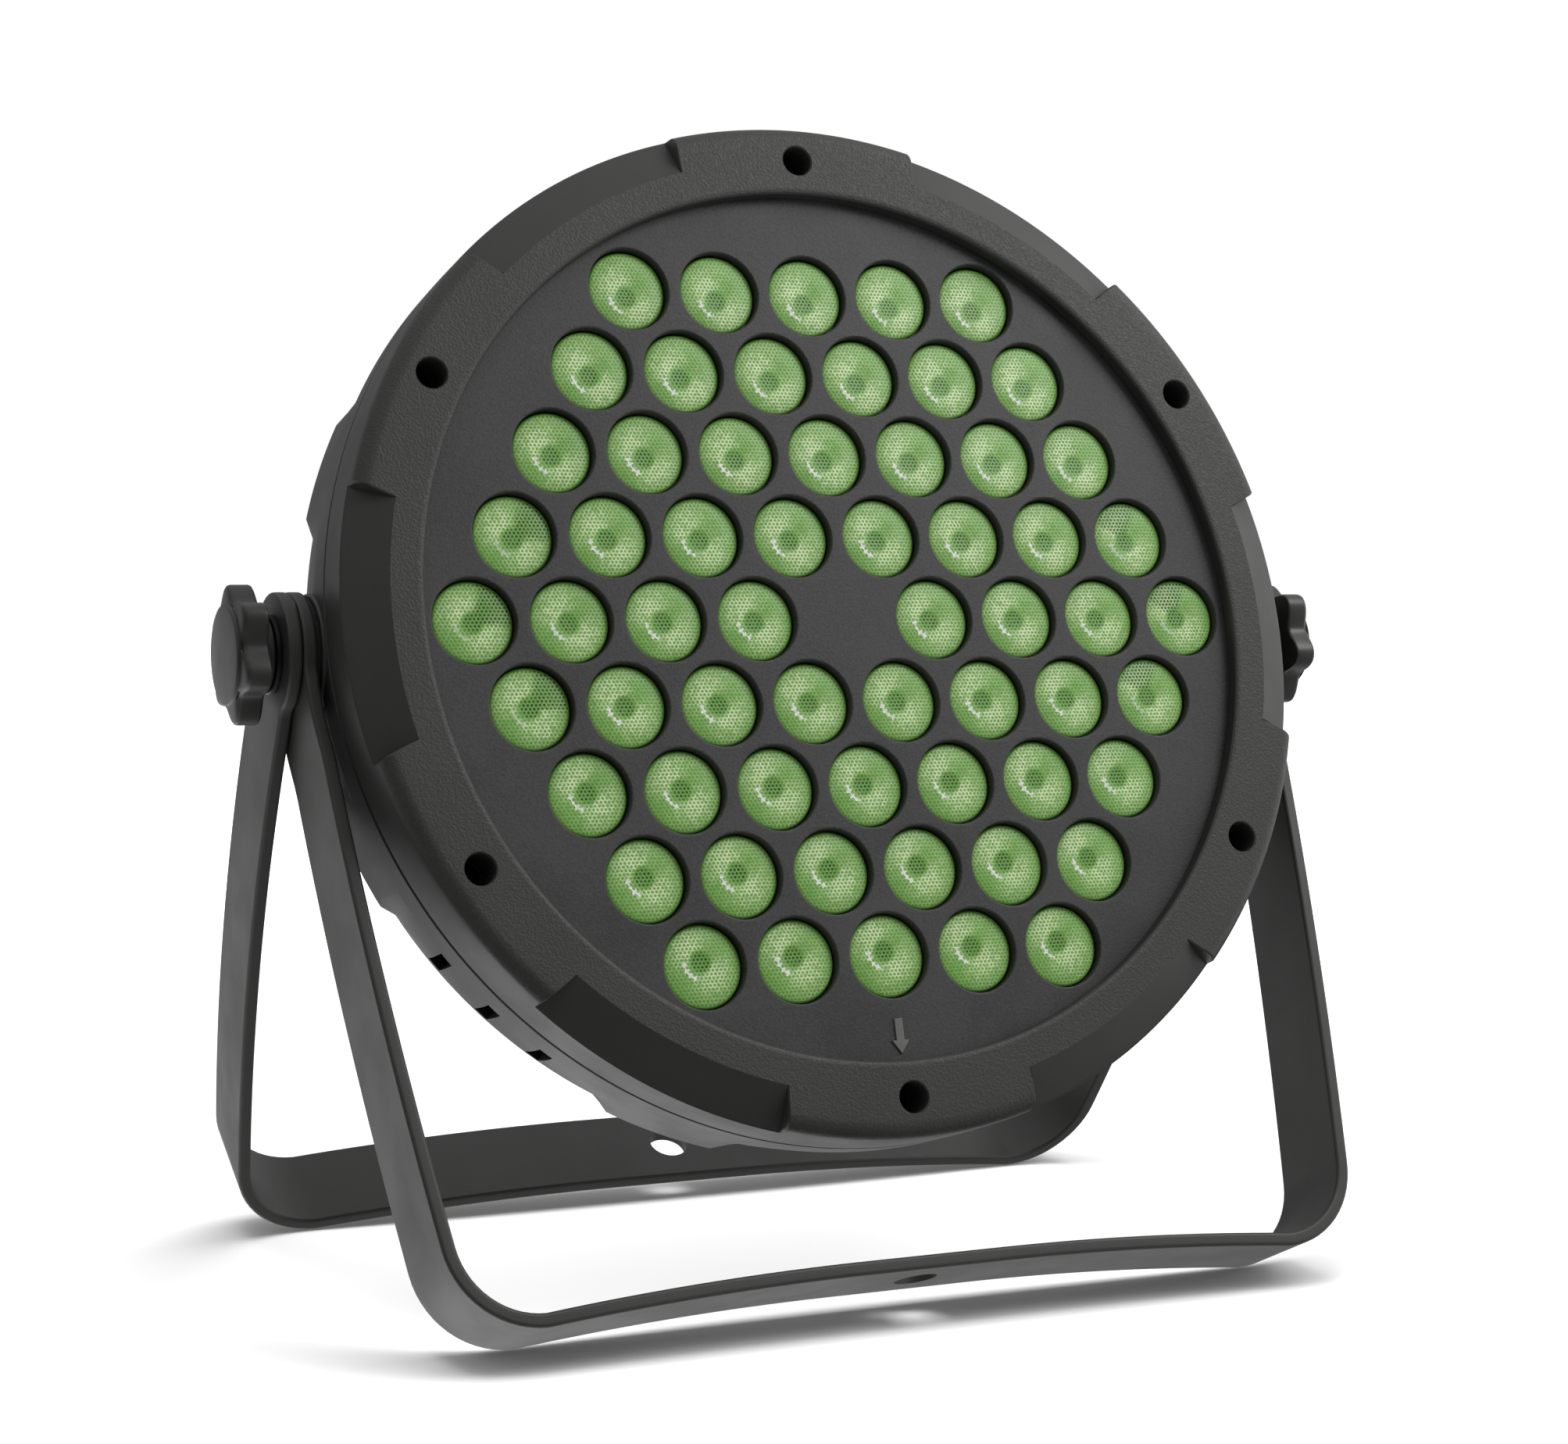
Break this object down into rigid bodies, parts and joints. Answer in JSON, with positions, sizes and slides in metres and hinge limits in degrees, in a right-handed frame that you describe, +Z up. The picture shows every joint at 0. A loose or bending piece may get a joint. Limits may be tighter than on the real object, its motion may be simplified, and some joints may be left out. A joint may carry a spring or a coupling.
{
  "type": "par can stage light",
  "caption": "Slim LED par can stage light: round lens face in a lobed bezel, domed fan-cooled housing, and a folding double bracket with star knobs that stands on the floor.",
  "frame": {"origin": "middle of the bounding box footprint, at floor level", "axes": "+Z up, -Y the way the light shines (turned up 17 degrees), +X along the tilt axis to the right as seen from the front"},
  "size_m": [0.296, 0.1762, 0.2851],
  "materials": {
    "housing_plastic": "textured satin",
    "bezel_plastic": "fine pebble texture",
    "panel_plastic": "satin",
    "lens_acrylic": "clear, patterned lenses",
    "board_white": "satin",
    "board_green": "satin",
    "aluminium": "extruded",
    "bracket_plastic": "satin",
    "knob_plastic": "satin",
    "steel": "zinc plated",
    "brass": "turned",
    "rubber": "matt",
    "black_plastic": "matt",
    "window": "dark red tint",
    "button_grey": "satin",
    "black_steel": "blackened",
    "winding": "taped winding",
    "can_blue": "sleeved can"
  },
  "bodies": {
    "rear_bracket": {"rear_bracket": "bracket_plastic"},
    "head": {"front_bezel": "bezel_plastic", "lens_panel": "panel_plastic", "lens_array": "lens_acrylic", "led_board": "board_white", "heat_sink": "aluminium", "rear_housing": "housing_plastic", "fan_frame": "black_plastic", "fan_guard": "black_plastic", "power_supply_board": "board_green", "transformer": "winding", "main_capacitor": "can_blue", "regulator_heat_sink": "aluminium", "control_board": "board_green", "display_module": "black_plastic", "control_panel": "panel_plastic", "display_window": "window", "signal_in_socket": "steel", "signal_out_socket": "steel", "power_inlet": "black_plastic", "safety_eye": "steel", "bezel_screw_1": "black_steel", "bezel_screw_2": "black_steel", "bezel_screw_3": "black_steel", "bezel_screw_4": "black_steel", "bezel_screw_5": "black_steel", "bezel_screw_6": "black_steel", "inlet_screw_1": "steel", "inlet_screw_2": "steel", "signal_in_screw_1": "steel", "signal_in_screw_2": "steel", "signal_out_screw_1": "steel", "signal_out_screw_2": "steel", "left_threaded_insert": "brass", "left_friction_pad": "rubber", "right_threaded_insert": "brass", "right_friction_pad": "rubber"},
    "front_bracket": {"front_bracket": "bracket_plastic"},
    "left_washer": {"left_washer": "steel"},
    "left_knob": {"left_knob": "knob_plastic", "left_knob_stud": "steel"},
    "right_washer": {"right_washer": "steel"},
    "right_knob": {"right_knob": "knob_plastic", "right_knob_stud": "steel"},
    "fan_rotor": {"fan_rotor": "black_plastic"},
    "signal_out_latch": {"signal_out_latch": "steel"},
    "fuse_drawer": {"fuse_drawer": "black_plastic"},
    "button_menu": {"button_menu": "button_grey"},
    "button_up": {"button_up": "button_grey"},
    "button_enter": {"button_enter": "button_grey"},
    "button_down": {"button_down": "button_grey"}
  },
  "joints": [
    {"name": "head_tilt", "type": "hinge", "parent": "rear_bracket", "child": "head", "pos_m": [0, -0.00668, 0.15448], "axis": [1, 0, 0], "range_deg": [-72.8, 107.1]},
    {"name": "front_bracket_fold", "type": "hinge", "parent": "rear_bracket", "child": "front_bracket", "pos_m": [0, -0.00668, 0.15448], "axis": [1, 0, 0], "range_deg": [-150, 54]},
    {"name": "left_knob_travel", "type": "slide", "parent": "head", "child": "left_washer", "axis": [-1, 0, 0], "range_m": [0, 0.00187]},
    {"name": "left_knob_turn", "type": "hinge", "parent": "left_washer", "child": "left_knob", "pos_m": [-0.1466, -0.00668, 0.15448], "axis": [-1, 0, 0], "range_deg": [0, 540]},
    {"name": "right_knob_travel", "type": "slide", "parent": "head", "child": "right_washer", "axis": [1, 0, 0], "range_m": [0, 0.00187]},
    {"name": "right_knob_turn", "type": "hinge", "parent": "right_washer", "child": "right_knob", "pos_m": [0.1466, -0.00668, 0.15448], "axis": [1, 0, 0], "range_deg": [0, 540]},
    {"name": "fan_spin", "type": "hinge", "parent": "head", "child": "fan_rotor", "pos_m": [0, 0.04314, 0.1433], "axis": [0, 0.9556, -0.2947], "continuous": true},
    {"name": "button_menu_press", "type": "slide", "parent": "head", "child": "button_menu", "axis": [0, -0.9556, 0.2947], "range_m": [0, 0.0008], "stiffness_N_per_m": 600, "springref_m": -0.0006},
    {"name": "button_up_press", "type": "slide", "parent": "head", "child": "button_up", "axis": [0, -0.9556, 0.2947], "range_m": [0, 0.0008], "stiffness_N_per_m": 600, "springref_m": -0.0006},
    {"name": "button_enter_press", "type": "slide", "parent": "head", "child": "button_enter", "axis": [0, -0.9556, 0.2947], "range_m": [0, 0.0008], "stiffness_N_per_m": 600, "springref_m": -0.0006},
    {"name": "button_down_press", "type": "slide", "parent": "head", "child": "button_down", "axis": [0, -0.9556, 0.2947], "range_m": [0, 0.0008], "stiffness_N_per_m": 600, "springref_m": -0.0006},
    {"name": "signal_out_latch_press", "type": "slide", "parent": "head", "child": "signal_out_latch", "axis": [0, -0.9556, 0.2947], "range_m": [0, 0.0012], "stiffness_N_per_m": 500, "springref_m": -0.001},
    {"name": "fuse_drawer_slide", "type": "slide", "parent": "head", "child": "fuse_drawer", "axis": [0, 0.9556, -0.2947], "range_m": [0, 0.014]}
  ],
  "couplings": [
    {"joint": "left_knob_turn", "follows": "left_knob_travel", "rad_per_m": 5026.5},
    {"joint": "right_knob_turn", "follows": "right_knob_travel", "rad_per_m": 5026.5}
  ]
}
